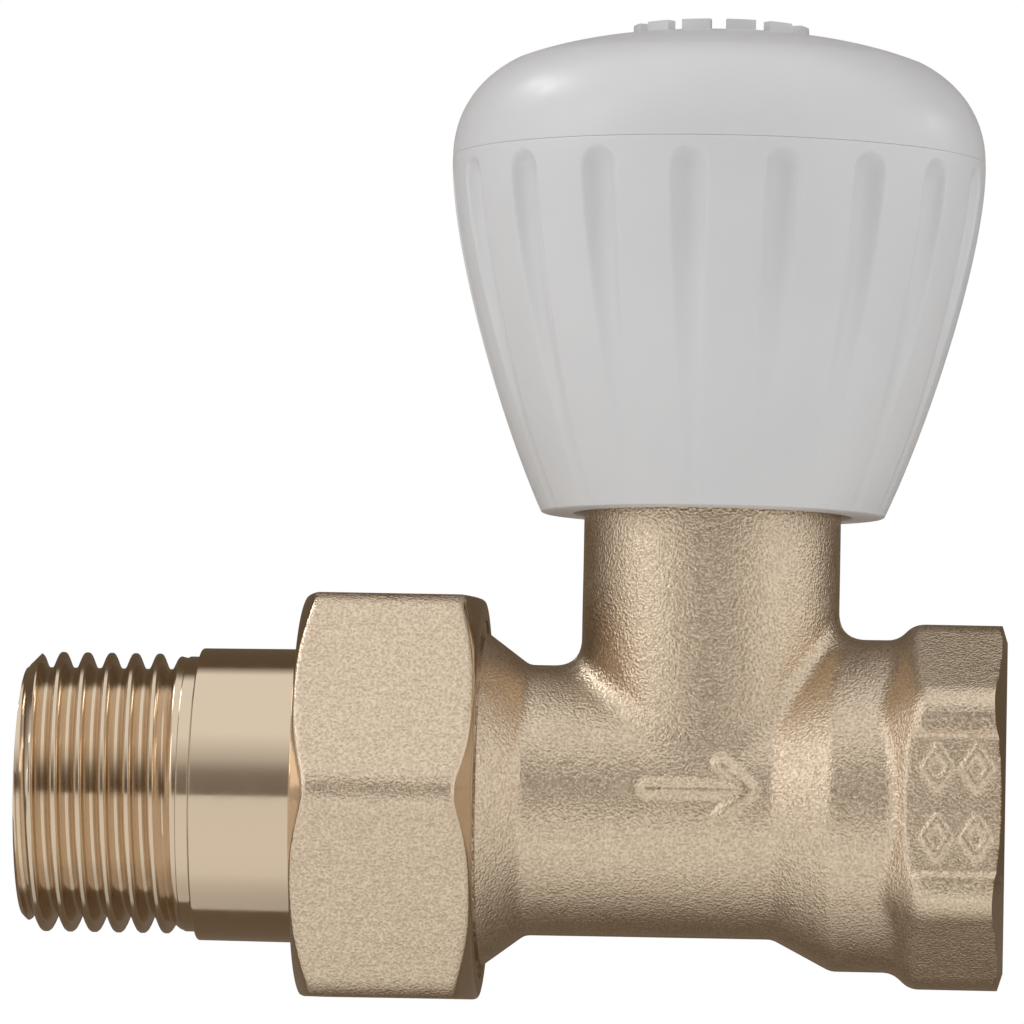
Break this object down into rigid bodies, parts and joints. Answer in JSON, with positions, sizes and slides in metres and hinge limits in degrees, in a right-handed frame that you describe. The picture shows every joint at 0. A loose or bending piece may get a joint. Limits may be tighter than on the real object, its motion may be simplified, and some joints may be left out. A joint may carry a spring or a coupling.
{
  "type": "radiator valve",
  "caption": "Straight radiator valve with a fluted wheel head, a female pipe socket at one end and a union with a male tailpiece at the other.",
  "frame": {"origin": "centre of the pipe socket's end face, on the pipe axis", "axes": "+X along the pipe axis, out of the pipe socket; +Z along the spindle, towards the wheel head; +Y across the body"},
  "size_m": [0.0733, 0.04, 0.0732],
  "materials": {
    "forged_nickel": "nickel plate on a grained forging",
    "turned_nickel": "nickel plate on a turned surface",
    "bare_brass": "turned, unplated",
    "spring_steel": "zinc plated",
    "seal_rubber": "moulded",
    "gland_ptfe": "cut ring",
    "wheel_plastic": "moulded, satin"
  },
  "bodies": {
    "body": {"valve_body": "forged_nickel", "bonnet": "bare_brass", "bonnet_o_ring": "seal_rubber", "gland_packing": "gland_ptfe", "gland_nut": "bare_brass"},
    "closing_disc": {"valve_disc": "bare_brass", "seat_washer": "seal_rubber", "disc_clip": "spring_steel", "disc_screw": "spring_steel"},
    "wheel_head": {"spindle": "bare_brass", "spindle_o_ring_lower": "seal_rubber", "spindle_o_ring_upper": "seal_rubber", "spindle_snap_ring": "spring_steel", "handwheel": "wheel_plastic", "handwheel_cap": "wheel_plastic", "screw_washer": "spring_steel", "handwheel_screw": "spring_steel"},
    "union_seal": {"union_o_ring": "seal_rubber"},
    "tailpiece": {"tailpiece": "turned_nickel"},
    "union_nut": {"union_nut": "forged_nickel"}
  },
  "joints": [
    {"name": "spindle_lift", "type": "slide", "parent": "body", "child": "closing_disc", "axis": [0, 0, 1], "range_m": [0, 0.00376]},
    {"name": "handwheel_turn", "type": "hinge", "parent": "closing_disc", "child": "wheel_head", "pos_m": [-0.0222, 0, 0.03], "axis": [0, 0, 1], "range_deg": [0, 900]},
    {"name": "union_travel", "type": "slide", "parent": "body", "child": "union_seal", "axis": [-1, 0, 0], "range_m": [0, 0.00908]},
    {"name": "tailpiece_swivel", "type": "hinge", "parent": "union_seal", "child": "tailpiece", "pos_m": [-0.055, 0, 0], "axis": [-1, 0, 0], "continuous": true},
    {"name": "union_nut_turn", "type": "hinge", "parent": "union_seal", "child": "union_nut", "pos_m": [-0.04575, 0, 0], "axis": [-1, 0, 0], "range_deg": [0, 1800]}
  ],
  "couplings": [
    {"joint": "spindle_lift", "follows": "handwheel_turn", "m_per_rad": 0.00023873},
    {"joint": "union_travel", "follows": "union_nut_turn", "m_per_rad": 0.0002887}
  ]
}
